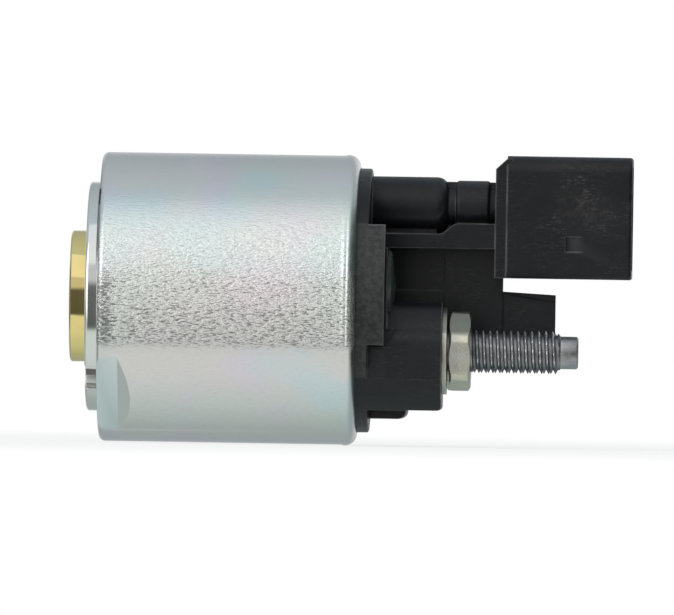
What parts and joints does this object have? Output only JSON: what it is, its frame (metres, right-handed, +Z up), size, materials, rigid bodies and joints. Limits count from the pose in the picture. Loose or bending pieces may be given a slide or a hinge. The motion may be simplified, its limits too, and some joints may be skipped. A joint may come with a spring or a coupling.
{
  "type": "starter solenoid",
  "caption": "Round zinc plated solenoid with a brass guide sleeve and plunger, a black terminal cap, stud terminals and a plug socket.",
  "frame": {"origin": "on the can's axis, in the plane of the raised mounting face", "axes": "+X along the axis from the mounting face to the terminals, +Z up towards the plug socket"},
  "size_m": [0.1008, 0.0522, 0.0525],
  "materials": {
    "zinc_plated_can": "zinc plated, fine satin grain",
    "polished_brass": "polished",
    "core_steel": "turned",
    "plunger_steel": "ground",
    "bobbin_plastic": "moulded",
    "coil_copper": "enamelled copper wire",
    "wrap_paper": "insulating wrap",
    "spring_steel": "drawn wire",
    "black_plastic": "glass-filled moulding",
    "seal_rubber": "matt",
    "stud_steel": "dull zinc plated thread",
    "zinc_plated_fastener": "zinc plated",
    "tinned_blade": "tin plated",
    "potting_resin": "glossy cast resin",
    "contact_copper": "bare copper"
  },
  "bodies": {
    "housing": {"casing": "zinc_plated_can", "guide_sleeve": "polished_brass", "fixed_core": "core_steel", "pole_plate": "core_steel", "coil_bobbin": "bobbin_plastic", "pull_in_winding": "coil_copper", "hold_in_winding": "coil_copper", "winding_wrap": "wrap_paper", "plunger_return_spring": "spring_steel", "contact_return_spring": "spring_steel", "terminal_cap": "black_plastic", "cap_gasket": "seal_rubber", "battery_stud": "stud_steel", "motor_stud": "stud_steel", "battery_stud_seal": "seal_rubber", "motor_stud_seal": "seal_rubber", "battery_washer": "zinc_plated_fastener", "motor_washer": "zinc_plated_fastener", "battery_nut": "zinc_plated_fastener", "motor_nut": "zinc_plated_fastener", "coil_blade": "tinned_blade", "signal_blade": "tinned_blade", "coil_lead": "coil_copper", "potting_resin": "potting_resin"},
    "plunger": {"plunger": "plunger_steel"},
    "contact_set": {"contact_rod": "core_steel", "contact_bridge": "contact_copper", "bridge_insulator": "bobbin_plastic", "bridge_washer": "bobbin_plastic", "rod_clip": "spring_steel", "contact_pressure_spring": "spring_steel"}
  },
  "joints": [
    {"name": "plunger_slide", "type": "slide", "parent": "housing", "child": "plunger", "axis": [1, 0, 0], "range_m": [0, 0.01], "stiffness_N_per_m": 1500, "springref_m": -0.008, "deforming": ["plunger_return_spring"]},
    {"name": "contact_slide", "type": "slide", "parent": "housing", "child": "contact_set", "axis": [1, 0, 0], "range_m": [0, 0.0025], "stiffness_N_per_m": 1200, "springref_m": -0.003, "deforming": ["contact_return_spring"]}
  ],
  "couplings": [
    {"joint": "contact_slide", "follows": "plunger_slide", "ratio": 0.25}
  ]
}
